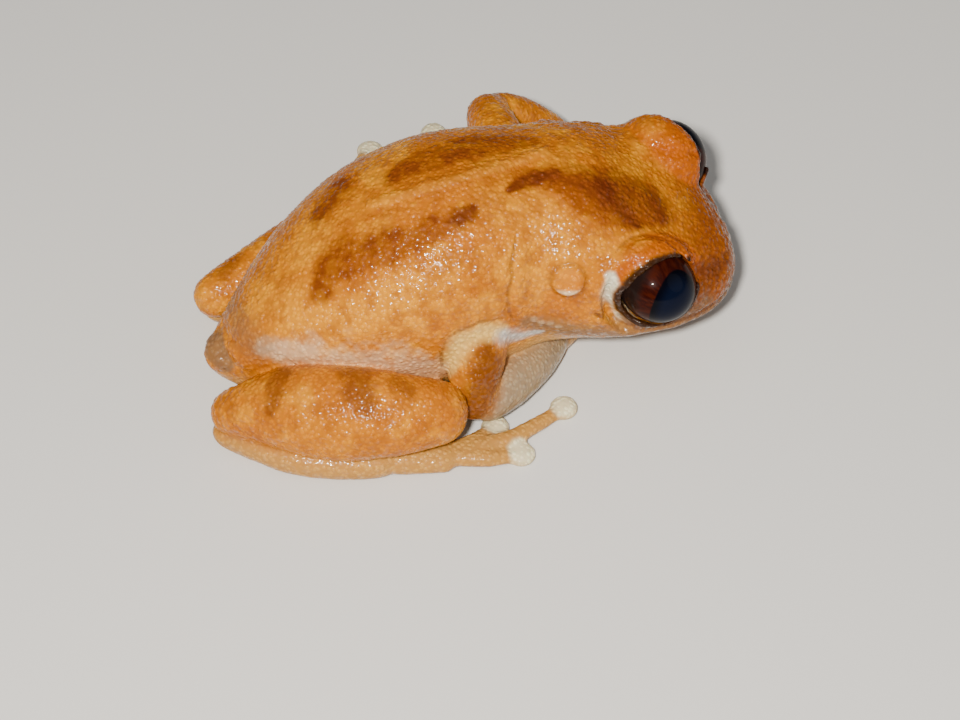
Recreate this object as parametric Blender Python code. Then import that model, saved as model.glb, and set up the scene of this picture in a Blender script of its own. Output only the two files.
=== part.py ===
"""A life-size tree frog at rest, as a still museum model, in Blender 4.5.

Every shape is laid out in millimetres and brought to metres at the end.
While it is laid out, +X runs to the snout, +Y to the frog's left and +Z up, with the floor at z = 0.
The frog is plump, sits on its belly and folded legs, and bows its head a little.
"""
import math

import bmesh
import bpy
from mathutils import Matrix, Vector
from mathutils.bvhtree import BVHTree

# Driving dimensions in millimetres
GAP = 0.3               # clearance between pieces that meet
FLOOR_BLOCK = 120.0     # edge of the block that trims what would reach under the floor
BODY_SIDES = 16         # corners of a body section between the two mouth corners
BODY_SQUARE = 2.2       # 2 is an ellipse, more is boxier
LIP_STEP = 3.0          # degrees from the mouth line to the edge of each lip
MOUTH_DEPTH = 0.45      # depth of the mouth line
MOUTH_CORNER_X = 12.4   # where the mouth line ends behind the eyes
NECK = (6.6, 3.0, 10.0)          # a point of the plane between torso and head
NECK_NORMAL = (1.0, -0.10, -0.12)

# Body stations: x, y of the midline, half width, height of back, of widest line, of belly,
# and the roll to the right in degrees
BODY_STATIONS = [
    (-20.1, -6.6, 1.1, 6.5, 5.3, 4.3, 0.0),
    (-19.0, -6.2, 2.3, 8.1, 5.5, 3.0, 0.0),
    (-16.6, -5.3, 4.4, 10.9, 6.3, 1.4, 0.0),
    (-13.0, -3.8, 7.0, 13.9, 7.5, 0.4, 0.0),
    (-9.0, -2.0, 9.0, 16.7, 8.5, -0.1, 0.0),
    (-5.0, -0.2, 10.2, 18.7, 9.2, -0.35, 0.0),
    (-1.0, 1.2, 10.6, 20.0, 9.6, -0.3, 0.0),
    (3.0, 2.3, 10.2, 20.3, 10.1, 0.5, 0.5),
    (7.0, 3.1, 9.6, 19.9, 10.4, 2.0, 2.0),
    (10.5, 3.4, 9.9, 19.8, 10.5, 2.9, 4.0),
    (14.0, 3.4, 10.1, 18.9, 10.0, 3.5, 5.0),
    (18.0, 2.9, 9.5, 16.9, 9.0, 4.2, 5.0),
    (21.3, 2.1, 7.8, 14.7, 8.4, 5.1, 5.0),
    (23.6, 1.6, 5.5, 13.0, 8.3, 6.1, 5.0),
    (25.1, 1.5, 3.2, 11.4, 8.6, 7.3, 5.0),
]
VENT_END = (-20.7, -6.85, 5.4)
SNOUT_END = (25.9, 1.4, 8.8)

# Eyes, lids, ears and nostrils
HEAD_YAW = math.radians(-6.5)
HEAD_ROLL = math.radians(5.0)
EYE_LEVEL = (19.25, 2.75, 13.0)   # the point of the midline between the eyes
EYE_SPREAD = 7.0                 # from the midline to the centre of an eye
EYE_RADIUS = 3.4
EYE_LOOK = (0.42, 0.85, 0.32)    # ahead, out and up, the middle of the opening between the lids
LID_RADIUS = EYE_RADIUS + GAP + 0.4
LID_RISE = 0.15
OPENING_LONG = 3.2               # half length of the opening between the lids
OPENING_HIGH = 3.0
EAR_BACK = 7.3                   # from the line between the eyes back to the ear
EAR_DOWN = 0.8
EAR_LIFT = 0.36                  # how much the ear faces up
EAR_RADIUS = 1.3
EAR_THICK = 0.8
EAR_RIM = 0.32
EAR_RIM_SUNK = 0.13               # how deep the middle of the rim lies in the skin
NOSTRIL_AHEAD = 4.3
NOSTRIL_SPREAD = 2.0
NOSTRIL_RADIUS = 0.3

# Limb stations: x, y, z of the core, half size across, half size through
SHANK_ACROSS = (0.0, 0.766, 0.643)
SHANK_RIGHT = [
    (-18.2, -11.2, 3.6, 2.1, 1.9),
    (-13.6, -12.3, 5.5, 3.6, 2.6),
    (-8.8, -13.45, 6.2, 4.15, 2.8),
    (-3.8, -13.65, 6.4, 3.6, 2.7),
    (-0.1, -13.1, 5.9, 2.8, 2.4),
]
THIGH_RIGHT = [
    (-13.5, -5.5, 5.6, 3.4, 3.2),
    (-10.5, -8.6, 4.4, 3.6, 3.2),
    (-5.5, -10.4, 3.9, 3.2, 2.8),
    (-0.9, -10.8, 4.6, 2.3, 2.2),
]
TARSUS_RIGHT = [
    (-18.4, -11.6, 1.9, 1.8, 1.7),
    (-13.5, -13.9, 1.6, 1.9, 1.6),
    (-9.0, -14.8, 1.5, 1.8, 1.5),
    (-5.4, -14.6, 1.4, 1.8, 1.4),
]
SHANK_LEFT = [
    (-20.6, 1.5, 4.4, 2.0, 1.8),
    (-17.0, 3.7, 4.5, 2.8, 2.4),
    (-13.0, 6.4, 4.7, 3.4, 2.7),
    (-8.8, 9.5, 4.8, 3.7, 2.7),
    (-5.4, 12.2, 4.6, 2.8, 2.3),
]
THIGH_LEFT = [
    (-13.5, -1.6, 5.0, 3.2, 3.2),
    (-11.0, 3.4, 4.0, 3.4, 3.2),
    (-8.2, 7.8, 3.6, 3.1, 2.8),
    (-5.2, 11.0, 3.7, 2.3, 2.2),
]
TARSUS_LEFT = [
    (-20.2, 2.8, 1.9, 1.8, 1.7),
    (-17.4, 5.8, 1.6, 1.8, 1.6),
    (-14.2, 8.8, 1.5, 1.7, 1.5),
    (-11.2, 11.2, 1.4, 1.7, 1.4),
]
UPPER_ARM_RIGHT = [
    (3.5, -5.4, 10.6, 3.1, 2.6),
    (2.8, -7.8, 7.8, 2.9, 2.5),
    (2.5, -9.2, 5.8, 2.5, 2.2),
    (2.6, -10.0, 4.2, 2.2, 2.0),
]
FOREARM_RIGHT = [
    (3.5, -9.9, 3.4, 1.9, 1.9),
    (5.8, -7.4, 3.0, 2.3, 2.1),
    (8.2, -4.2, 2.4, 2.1, 1.9),
    (9.7, -1.8, 1.8, 1.7, 1.4),
]
UPPER_ARM_LEFT = [
    (7.0, 10.0, 10.6, 2.3, 2.3),
    (5.4, 14.4, 10.2, 2.4, 2.3),
    (4.4, 18.0, 9.7, 2.2, 2.1),
    (4.0, 19.6, 9.3, 2.0, 2.0),
]
FOREARM_LEFT = [
    (4.3, 20.3, 8.8, 2.0, 2.0),
    (6.4, 21.4, 7.0, 2.3, 2.1),
    (9.4, 22.0, 4.6, 2.1, 1.9),
    (11.6, 22.0, 2.2, 1.7, 1.4),
]

# Hands and feet: the root, the sole's centre, then each digit's bend and tip, inner digit first
HAND_ROOT_RADIUS = 1.4
HANDS = {
    "right": {
        "root": (10.0, -1.2, 1.5),
        "sole": (11.7, 1.6, 1.1),
        "digits": [((11.6, 3.8), (10.6, 6.2)), ((13.2, 4.2), (14.0, 7.0)),
                   ((14.4, 3.6), (17.6, 5.8)), ((14.8, 2.4), (17.8, 3.0))],
    },
    "left": {
        "root": (12.1, 22.0, 1.6),
        "sole": (14.1, 21.4, 1.1),
        "digits": [((14.6, 19.0), (14.2, 16.6)), ((16.0, 19.4), (17.6, 17.2)),
                   ((17.2, 20.8), (20.8, 20.0)), ((17.0, 22.2), (20.0, 22.9))],
    },
}
FEET = {
    "right": {
        "root": (-4.6, -14.6, 1.3),
        "sole": (0.2, -13.9, 1.0),
        "digits": [((-2.4, -12.4), (-3.4, -10.6)), ((0.2, -11.8), (0.2, -10.2)),
                   ((3.0, -12.2), (4.6, -10.4)), ((6.0, -12.0), (10.7, -8.2)),
                   ((4.0, -14.2), (6.9, -13.4))],
    },
    "left": {
        "root": (-10.6, 11.9, 1.3),
        "sole": (-8.6, 15.6, 1.0),
        "digits": [((-6.6, 15.6), (-4.8, 14.6)), ((-5.2, 17.6), (-2.4, 17.4)),
                   ((-4.4, 19.4), (0.2, 20.8)), ((-5.6, 21.0), (-1.2, 26.0)),
                   ((-8.4, 20.6), (-7.3, 23.6))],
    },
}
DIGIT_ROOT_RADIUS = 0.95
DIGIT_TIP_RADIUS = 0.65
DISC_RADIUS = 1.35
DISC_HALF_THICK = 0.5
DIGIT_BEND_Z = 0.95

# Skin colours, linear RGB, with roughness
COLOURS = {
    "back": ((0.50, 0.20, 0.035), 0.45),
    "leg": ((0.52, 0.22, 0.06), 0.45),
    "foot": ((0.60, 0.36, 0.20), 0.40),
    "eye": ((0.05, 0.010, 0.006), 0.10),
    "ear": ((0.42, 0.17, 0.04), 0.50),
}


def clear_scene():
    for old in list(bpy.data.objects):
        bpy.data.objects.remove(old, do_unlink=True)


def curve_value(rows, t):
    """Catmull-Rom value at t along rows of equal length, t running from 0 to len(rows) - 1."""
    last = len(rows) - 1
    i = min(int(t), last - 1)
    u = t - i
    p0 = rows[max(i - 1, 0)]
    p1 = rows[i]
    p2 = rows[i + 1]
    p3 = rows[min(i + 2, last)]
    out = []
    for a, b, c, d in zip(p0, p1, p2, p3):
        out.append(0.5 * (2 * b + (c - a) * u + (2 * a - 5 * b + 4 * c - d) * u * u
                          + (3 * b - a - 3 * c + d) * u * u * u))
    return out


def solid(name, rings, start, end):
    """A closed object from rings of equal count, with a single point at each end."""
    mesh = bpy.data.meshes.new(name)
    count = len(rings[0])
    verts = [start]
    for ring in rings:
        verts.extend(ring)
    verts.append(end)
    faces = []
    for k in range(count):
        n = (k + 1) % count
        faces.append((0, 1 + n, 1 + k))
        for r in range(len(rings) - 1):
            a = 1 + r * count
            faces.append((a + k, a + n, a + count + n, a + count + k))
        a = 1 + (len(rings) - 1) * count
        faces.append((a + k, a + n, len(verts) - 1))
    mesh.from_pydata([tuple(v) for v in verts], [], faces)
    return add_object(name, mesh)


def add_object(name, mesh):
    """Links a mesh as an object, with its faces turned out."""
    bm = bmesh.new()
    bm.from_mesh(mesh)
    bmesh.ops.recalc_face_normals(bm, faces=bm.faces)
    bm.to_mesh(mesh)
    bm.free()
    obj = bpy.data.objects.new(name, mesh)
    bpy.context.scene.collection.objects.link(obj)
    return obj


def ellipsoid(name, centre, axes, sizes, segments=16, rings=10):
    """An ellipsoid with its three half sizes along three unit axes."""
    bm = bmesh.new()
    bmesh.ops.create_uvsphere(bm, u_segments=segments, v_segments=rings, radius=1.0)
    for v in bm.verts:
        x, y, z = v.co
        v.co = centre + axes[0] * x * sizes[0] + axes[1] * y * sizes[1] + axes[2] * z * sizes[2]
    mesh = bpy.data.meshes.new(name)
    bm.to_mesh(mesh)
    bm.free()
    return add_object(name, mesh)


def tube_along(name, axis, across, centre, half_long, half_high, start, end, sides=20):
    """An elliptic cylinder along an axis, from start to end before its centre."""
    up = axis.cross(across)
    rings = []
    for depth in (start, end):
        ring = []
        for k in range(sides):
            a = 2 * math.pi * k / sides
            ring.append(centre + axis * depth + across * half_long * math.cos(a)
                        + up * half_high * math.sin(a))
        rings.append(ring)
    return solid(name, rings, centre + axis * start, centre + axis * end)


def torus(name, centre, axis, across, radius, minor, sides=20, around=6):
    """A ring round an axis."""
    up = axis.cross(across)
    verts = []
    for k in range(sides):
        a = 2 * math.pi * k / sides
        out = across * math.cos(a) + up * math.sin(a)
        for m in range(around):
            b = 2 * math.pi * m / around
            verts.append(centre + out * (radius + minor * math.cos(b)) + axis * minor * math.sin(b))
    faces = []
    for k in range(sides):
        for m in range(around):
            n = (k + 1) % sides
            o = (m + 1) % around
            faces.append((k * around + m, n * around + m, n * around + o, k * around + o))
    mesh = bpy.data.meshes.new(name)
    mesh.from_pydata([tuple(v) for v in verts], [], faces)
    return add_object(name, mesh)


def limb(name, stations, across, grow=0.0, sides=14, steps=2, cap_steps=3):
    """A limb of oval sections with round ends. The wide way of each section follows across."""
    across = Vector(across)
    samples = [curve_value(stations, k / steps) for k in range((len(stations) - 1) * steps + 1)]
    cores = [Vector(s[:3]) for s in samples]
    rings = []
    frames = []
    for k, sample in enumerate(samples):
        ahead = cores[min(k + 1, len(cores) - 1)] - cores[max(k - 1, 0)]
        ahead.normalize()
        wide = (across - ahead * across.dot(ahead)).normalized()
        thin = ahead.cross(wide)
        frames.append((cores[k], ahead, wide, thin, sample[3] + grow, sample[4] + grow))

    def ring(frame, shift, scale):
        core, ahead, wide, thin, half_wide, half_thin = frame
        points = []
        for k in range(sides):
            a = 2 * math.pi * k / sides
            points.append(core + ahead * shift + wide * half_wide * scale * math.cos(a)
                          + thin * half_thin * scale * math.sin(a))
        return points

    first = frames[0]
    last = frames[-1]
    for k in range(cap_steps - 1, 0, -1):
        a = math.pi / 2 * k / cap_steps
        rings.append(ring(first, -first[5] * math.sin(a), math.cos(a)))
    for frame in frames:
        rings.append(ring(frame, 0.0, 1.0))
    for k in range(1, cap_steps):
        a = math.pi / 2 * k / cap_steps
        rings.append(ring(last, last[5] * math.sin(a), math.cos(a)))
    return solid(name, rings, first[0] - first[1] * first[5], last[0] + last[1] * last[5])


def section_angles():
    """Angles of a body section, close together at the mouth line on each side."""
    half = [LIP_STEP + (180 - 2 * LIP_STEP) * k / BODY_SIDES for k in range(BODY_SIDES + 1)]
    return [math.radians(a) for a in [0.0] + half + [180.0] + [a + 180 for a in half]]


def body_shape(name, grow=0.0, steps=3):
    """Torso and head as one smooth solid of upright sections, with the mouth line let in."""
    angles = section_angles()
    rings = []
    samples = [curve_value(BODY_STATIONS, k / steps)
               for k in range((len(BODY_STATIONS) - 1) * steps + 1)]
    for k, sample in enumerate(samples):
        x, y, half, top, side, bottom, roll = sample
        lean = Matrix.Rotation(-math.radians(roll), 3, "X")
        after = samples[min(k + 1, len(samples) - 1)]
        before = samples[max(k - 1, 0)]
        ahead = Vector((after[0] - before[0], after[1] - before[1], 0.0)).normalized()
        left = Vector((-ahead.y, ahead.x, 0.0))
        open_share = min(max((x - MOUTH_CORNER_X) / 1.5, 0.0), 1.0)
        groove = MOUTH_DEPTH * open_share if grow == 0.0 else 0.0
        ring = []
        for a in angles:
            c = math.cos(a)
            s = math.sin(a)
            wide = (half + grow) * math.copysign(abs(c) ** (2 / BODY_SQUARE), c)
            if abs(s) < 1e-6:
                wide -= math.copysign(groove, c)
            reach = (top - side if s > 0 else side - bottom) + grow
            rise = reach * math.copysign(abs(s) ** (2 / BODY_SQUARE), s)
            ring.append(Vector((x, y, side)) + lean @ (left * wide + Vector((0, 0, rise))))
        rings.append(ring)
    start = Vector(VENT_END) + Vector((-grow, 0, 0))
    end = Vector(SNOUT_END) + Vector((grow, 0, 0))
    return solid(name, rings, start, end)


def remove(obj):
    bpy.data.objects.remove(obj, do_unlink=True)


def apply_boolean(obj, operation, operand=None, collection=None):
    """Applies one exact Boolean and keeps the result on the object."""
    mod = obj.modifiers.new("cut", "BOOLEAN")
    mod.operation = operation
    mod.solver = "EXACT"
    if collection is not None:
        mod.operand_type = "COLLECTION"
        mod.collection = collection
    else:
        mod.object = operand
    depsgraph = bpy.context.evaluated_depsgraph_get()
    mesh = bpy.data.meshes.new_from_object(obj.evaluated_get(depsgraph))
    obj.modifiers.clear()
    obj.data = mesh


def cut_by(obj, cutters):
    """Subtracts each cutter in turn and removes it."""
    for cutter in cutters:
        cutter.hide_render = True
        cutter.display_type = "WIRE"
        apply_boolean(obj, "DIFFERENCE", operand=cutter)
        remove(cutter)


def join(obj, others):
    """Unites the others with the object by one Boolean on a collection."""
    group = bpy.data.collections.new(obj.name + "_pieces")
    bpy.context.scene.collection.children.link(group)
    for other in others:
        bpy.context.scene.collection.objects.unlink(other)
        group.objects.link(other)
    apply_boolean(obj, "UNION", collection=group)
    for other in others:
        remove(other)
    bpy.data.collections.remove(group)


def slice_off(obj, point, normal):
    """Removes all that lies past a plane and closes the cut."""
    bm = bmesh.new()
    bm.from_mesh(obj.data)
    geometry = bm.verts[:] + bm.edges[:] + bm.faces[:]
    bmesh.ops.bisect_plane(bm, geom=geometry, dist=1e-5, plane_co=Vector(point),
                           plane_no=Vector(normal).normalized(), clear_outer=True)
    rim = [e for e in bm.edges if e.is_boundary]
    bmesh.ops.holes_fill(bm, edges=rim, sides=0)
    bm.to_mesh(obj.data)
    bm.free()


def floor_block():
    """All that lies under the floor, as a cutter."""
    mesh = bpy.data.meshes.new("floor_block")
    bm = bmesh.new()
    bmesh.ops.create_cube(bm, size=1.0, matrix=Matrix.Translation((0, 0, -FLOOR_BLOCK / 2))
                          @ Matrix.Scale(FLOOR_BLOCK, 4))
    bm.to_mesh(mesh)
    bm.free()
    return add_object("floor_block", mesh)


def keep_largest(obj):
    """Keeps the closed surface that encloses the most, and triangulates it."""
    bm = bmesh.new()
    bm.from_mesh(obj.data)
    bmesh.ops.triangulate(bm, faces=bm.faces)
    left = set(bm.faces)
    groups = []
    while left:
        seed = left.pop()
        group = {seed}
        front = [seed]
        while front:
            face = front.pop()
            for edge in face.edges:
                for other in edge.link_faces:
                    if other in left:
                        left.discard(other)
                        group.add(other)
                        front.append(other)
        groups.append(group)

    def enclosed(group):
        total = 0.0
        for face in group:
            a, b, c = [v.co for v in face.verts]
            total += a.dot(b.cross(c)) / 6
        return total

    best = max(groups, key=enclosed)
    scraps = [f for f in bm.faces if f not in best]
    bmesh.ops.delete(bm, geom=scraps, context="FACES")
    loose = [v for v in bm.verts if not v.link_faces]
    bmesh.ops.delete(bm, geom=loose, context="VERTS")
    bm.to_mesh(obj.data)
    bm.free()


def paint(obj, colour_name):
    """Gives an object its own Principled material."""
    colour, roughness = COLOURS[colour_name]
    material = bpy.data.materials.new(obj.name)
    material.use_nodes = True
    shader = material.node_tree.nodes["Principled BSDF"]
    shader.inputs["Base Color"].default_value = (*colour, 1.0)
    shader.inputs["Roughness"].default_value = roughness
    obj.data.materials.clear()
    obj.data.materials.append(material)
    obj.data.shade_smooth()
    obj.data.set_sharp_from_angle(angle=math.radians(40))


def head_axes():
    """Unit vectors of the head: ahead, left and up."""
    ahead = Vector((math.cos(HEAD_YAW), math.sin(HEAD_YAW), 0.0))
    roll = Matrix.Rotation(HEAD_ROLL, 3, ahead)
    left = roll @ Vector((-math.sin(HEAD_YAW), math.cos(HEAD_YAW), 0.0))
    return ahead, left, ahead.cross(left)


def eye_centre(side):
    ahead, left, up = head_axes()
    return Vector(EYE_LEVEL) + left * EYE_SPREAD * side


def eye_look(side):
    """The way the opening between the lids faces."""
    ahead, left, up = head_axes()
    return (ahead * EYE_LOOK[0] + left * side * EYE_LOOK[1] + up * EYE_LOOK[2]).normalized()


def skin_point(origin, way):
    """Where a ray from inside the body leaves its skin, and the outward normal there."""
    body = body_shape("body_probe")
    bm = bmesh.new()
    bm.from_mesh(body.data)
    tree = BVHTree.FromBMesh(bm)
    point, normal, face, distance = tree.ray_cast(origin, way)
    bm.free()
    remove(body)
    return point, normal


def ear_frame(side):
    """Centre on the skin, outward axis and a direction across an ear."""
    ahead, left, up = head_axes()
    inside = Vector(EYE_LEVEL) - ahead * EAR_BACK - up * EAR_DOWN
    centre, axis = skin_point(inside, left * side + up * EAR_LIFT)
    across = ahead - axis * ahead.dot(axis)
    return centre, axis, across.normalized()


def ear_disc(name, side, grow=0.0, rise=0.0):
    centre, axis, across = ear_frame(side)
    return tube_along(name, axis, across, centre, EAR_RADIUS + grow, EAR_RADIUS + grow,
                      -EAR_THICK - grow, rise, sides=20)


def build_torso():
    torso = body_shape("torso")
    slice_off(torso, Vector(NECK) - Vector(NECK_NORMAL).normalized() * GAP / 2, NECK_NORMAL)
    cut_by(torso, [floor_block(),
                   limb("right_dent", SHANK_RIGHT, SHANK_ACROSS, GAP),
                   limb("left_dent", SHANK_LEFT, SHANK_ACROSS, GAP)])
    keep_largest(torso)
    paint(torso, "back")


def build_head():
    ahead, left, up = head_axes()
    head = body_shape("head")
    neck_in = -Vector(NECK_NORMAL)
    slice_off(head, Vector(NECK) + Vector(NECK_NORMAL).normalized() * GAP / 2, neck_in)
    pieces = []
    cutters = []
    for side in (-1, 1):
        centre = eye_centre(side)
        pieces.append(ellipsoid("lid", centre + up * LID_RISE, (ahead, left, up),
                                [LID_RADIUS] * 3, 24, 14))
        ear, axis, across = ear_frame(side)
        pieces.append(torus("ear_rim", ear - axis * EAR_RIM_SUNK, axis, across, EAR_RADIUS + GAP + EAR_RIM,
                            EAR_RIM))
        cutters.append(ellipsoid("socket", centre, (ahead, left, up),
                                 [EYE_RADIUS + GAP] * 3, 20, 12))
        look = eye_look(side)
        across = (ahead - look * ahead.dot(look)).normalized()
        cutters.append(tube_along("opening", look, across, centre, OPENING_LONG, OPENING_HIGH,
                                  0.0, LID_RADIUS * 1.6, sides=24))
        cutters.append(ear_disc("ear_seat", side, GAP, 2.0))
        inside = Vector(EYE_LEVEL) + ahead * NOSTRIL_AHEAD + left * NOSTRIL_SPREAD * side - up * 4.0
        nostril, pit = skin_point(inside, ahead * 0.35 + left * side * 0.25 + up * 0.9)
        cutters.append(tube_along("nostril", pit, left.cross(pit).normalized(), nostril,
                                  NOSTRIL_RADIUS, NOSTRIL_RADIUS, -0.6, 3.0, sides=8))
    join(head, pieces)
    cut_by(head, cutters)
    keep_largest(head)
    paint(head, "back")


def build_eyes_and_ears():
    ahead, left, up = head_axes()
    for side, word in ((-1, "right"), (1, "left")):
        eye = ellipsoid("eye_" + word, eye_centre(side), (ahead, left, up), [EYE_RADIUS] * 3, 18, 11)
        keep_largest(eye)
        paint(eye, "eye")
        ear = ear_disc("tympanum_" + word, side)
        keep_largest(ear)
        paint(ear, "ear")


def build_leg(word, shank_stations, thigh_stations, tarsus_stations):
    shank = limb("shank_" + word, shank_stations, SHANK_ACROSS)
    keep_largest(shank)
    paint(shank, "leg")

    thigh = limb("thigh_" + word, thigh_stations, (0, 0, 1))
    cut_by(thigh, [body_shape("body_cut", GAP),
                   limb("shank_cut", shank_stations, SHANK_ACROSS, GAP)])
    keep_largest(thigh)
    paint(thigh, "leg")

    tarsus = limb("tarsus_" + word, tarsus_stations, (0, 1, 0))
    cut_by(tarsus, [limb("shank_cut", shank_stations, SHANK_ACROSS, GAP),
                    limb("thigh_cut", thigh_stations, (0, 0, 1), GAP)])
    keep_largest(tarsus)
    paint(tarsus, "foot")


def build_arm(word, upper_stations, forearm_stations, shank_stations, thigh_stations):
    upper = limb("upper_arm_" + word, upper_stations, (1, 0, 0))
    cut_by(upper, [body_shape("body_cut", GAP),
                   limb("shank_cut", shank_stations, SHANK_ACROSS, GAP),
                   limb("thigh_cut", thigh_stations, (0, 0, 1), GAP)])
    keep_largest(upper)
    paint(upper, "leg")

    forearm = limb("forearm_" + word, forearm_stations, (0, 0, 1))
    cut_by(forearm, [limb("upper_cut", upper_stations, (1, 0, 0), GAP),
                     body_shape("body_cut", GAP),
                     limb("shank_cut", shank_stations, SHANK_ACROSS, GAP)])
    keep_largest(forearm)
    paint(forearm, "foot")


def level_way(start, end):
    """Unit vectors along and across the level direction from start to end."""
    ahead = Vector((end.x - start.x, end.y - start.y, 0.0)).normalized()
    return ahead, Vector((-ahead.y, ahead.x, 0.0))


def build_extremity(name, plan, root_cutter, sole_half_wide):
    """A hand or foot: a flat sole, slim digits and a round disc at each tip."""
    root = Vector(plan["root"])
    sole = Vector(plan["sole"])
    extremity = limb(name, [(*root, HAND_ROOT_RADIUS, 1.2),
                            (*((root + sole) / 2), (HAND_ROOT_RADIUS + sole_half_wide) / 2, 1.1),
                            (*sole, sole_half_wide, 0.95)],
                     level_way(root, sole)[1], sides=10, steps=2)
    pieces = []
    for bend, tip in plan["digits"]:
        bend_at = Vector((*bend, DIGIT_BEND_Z))
        tip_at = Vector((*tip, DISC_HALF_THICK))
        start = sole.lerp(bend_at, 0.2)
        ahead, across = level_way(start, tip_at)
        pieces.append(limb("digit", [(*start, DIGIT_ROOT_RADIUS, 0.75),
                                     (*bend_at, DIGIT_ROOT_RADIUS * 0.85, 0.65),
                                     (*tip_at, DIGIT_TIP_RADIUS, 0.45)],
                           across, sides=6, steps=2, cap_steps=2))
        pieces.append(ellipsoid("disc", tip_at, (ahead, across, Vector((0, 0, 1))),
                                (DISC_RADIUS, DISC_RADIUS, DISC_HALF_THICK + 0.1), 10, 5))
    join(extremity, pieces)
    cut_by(extremity, [root_cutter("root_cut"), floor_block()])
    keep_largest(extremity)
    paint(extremity, "foot")


def move_to_origin():
    """Brings all to metres, with the middle of the whole box's underside at the origin."""
    corners = []
    for obj in bpy.data.objects:
        corners.extend(v.co.copy() for v in obj.data.vertices)
    low = Vector([min(c[i] for c in corners) for i in range(3)])
    high = Vector([max(c[i] for c in corners) for i in range(3)])
    middle = Vector(((low.x + high.x) / 2, (low.y + high.y) / 2, low.z))
    change = Matrix.Scale(0.001, 4) @ Matrix.Translation(-middle)
    for obj in bpy.data.objects:
        obj.data.transform(change)


def main():
    clear_scene()
    build_torso()
    build_head()
    build_eyes_and_ears()
    build_leg("right", SHANK_RIGHT, THIGH_RIGHT, TARSUS_RIGHT)
    build_leg("left", SHANK_LEFT, THIGH_LEFT, TARSUS_LEFT)
    build_arm("right", UPPER_ARM_RIGHT, FOREARM_RIGHT, SHANK_RIGHT, THIGH_RIGHT)
    build_arm("left", UPPER_ARM_LEFT, FOREARM_LEFT, SHANK_LEFT, THIGH_LEFT)
    build_extremity("hand_right", HANDS["right"],
                    lambda name: limb(name, FOREARM_RIGHT, (0, 0, 1), GAP), 1.5)
    build_extremity("hand_left", HANDS["left"],
                    lambda name: limb(name, FOREARM_LEFT, (0, 0, 1), GAP), 1.5)
    build_extremity("foot_right", FEET["right"],
                    lambda name: limb(name, TARSUS_RIGHT, (0, 1, 0), GAP), 1.7)
    build_extremity("foot_left", FEET["left"],
                    lambda name: limb(name, TARSUS_LEFT, (0, 1, 0), GAP), 1.7)
    move_to_origin()


main()
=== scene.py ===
import math

import bpy
import numpy as np
import openvdb as vdb
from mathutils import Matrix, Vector
from mathutils.bvhtree import BVHTree


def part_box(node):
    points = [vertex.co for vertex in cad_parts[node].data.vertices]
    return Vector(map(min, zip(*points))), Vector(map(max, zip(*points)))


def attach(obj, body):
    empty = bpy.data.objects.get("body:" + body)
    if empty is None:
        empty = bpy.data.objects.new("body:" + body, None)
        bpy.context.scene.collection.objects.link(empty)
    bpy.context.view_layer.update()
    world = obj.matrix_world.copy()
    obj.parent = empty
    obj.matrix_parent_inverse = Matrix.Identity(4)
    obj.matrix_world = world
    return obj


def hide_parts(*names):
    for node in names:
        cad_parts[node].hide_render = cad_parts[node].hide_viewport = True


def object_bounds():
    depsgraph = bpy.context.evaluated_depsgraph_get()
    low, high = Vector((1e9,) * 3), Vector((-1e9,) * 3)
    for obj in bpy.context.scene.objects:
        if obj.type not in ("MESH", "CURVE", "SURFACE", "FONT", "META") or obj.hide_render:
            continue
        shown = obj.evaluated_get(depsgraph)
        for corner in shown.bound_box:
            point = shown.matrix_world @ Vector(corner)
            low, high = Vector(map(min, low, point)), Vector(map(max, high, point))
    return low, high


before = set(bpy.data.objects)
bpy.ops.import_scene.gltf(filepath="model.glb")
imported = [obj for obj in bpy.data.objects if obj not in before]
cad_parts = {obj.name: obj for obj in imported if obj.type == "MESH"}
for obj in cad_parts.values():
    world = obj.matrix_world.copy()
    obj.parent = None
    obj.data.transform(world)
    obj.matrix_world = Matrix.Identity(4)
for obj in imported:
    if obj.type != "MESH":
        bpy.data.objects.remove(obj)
cad_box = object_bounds()
scene = bpy.context.scene

# The camera
# It looks down on the frog's right side from about 23 cm away, with the snout to the right.
# The frog lies across the picture, so the camera only tilts down.
CAMERA_PLACE = Vector((0.00156, -0.15763, 0.17920))
CAMERA_DOWN = math.radians(50)
PICTURE_WIDE, PICTURE_HIGH = 960, 720
FOCAL_PIXELS = 2599.0
camera_data = bpy.data.cameras.new("camera")
camera_data.sensor_width = 36.0
camera_data.lens = FOCAL_PIXELS * camera_data.sensor_width / PICTURE_WIDE
camera_data.clip_start = 0.01
camera_data.clip_end = 5.0
camera = bpy.data.objects.new("camera", camera_data)
camera.location = CAMERA_PLACE
camera.rotation_euler = (math.pi / 2 - CAMERA_DOWN, 0.0, 0.0)
scene.collection.objects.link(camera)
scene.camera = camera

# The floor
# A plain pale sheet of matt card that the frog sits on, wide enough to fill every view.
FLOOR_REACH = 1.6
FLOOR_COLOUR = (0.74, 0.73, 0.71, 1.0)
floor_mesh = bpy.data.meshes.new("floor")
floor_mesh.from_pydata([(-FLOOR_REACH, -FLOOR_REACH, 0), (FLOOR_REACH, -FLOOR_REACH, 0),
                        (FLOOR_REACH, FLOOR_REACH, 0), (-FLOOR_REACH, FLOOR_REACH, 0)],
                       [], [(0, 1, 2, 3)])
floor = bpy.data.objects.new("floor", floor_mesh)
scene.collection.objects.link(floor)
card = bpy.data.materials.new("matt card")
card.use_nodes = True
card_shader = card.node_tree.nodes["Principled BSDF"]
card_shader.inputs["Base Color"].default_value = FLOOR_COLOUR
card_shader.inputs["Roughness"].default_value = 0.9
card_shader.inputs["Specular IOR Level"].default_value = 0.15
floor_mesh.materials.append(card)

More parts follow.
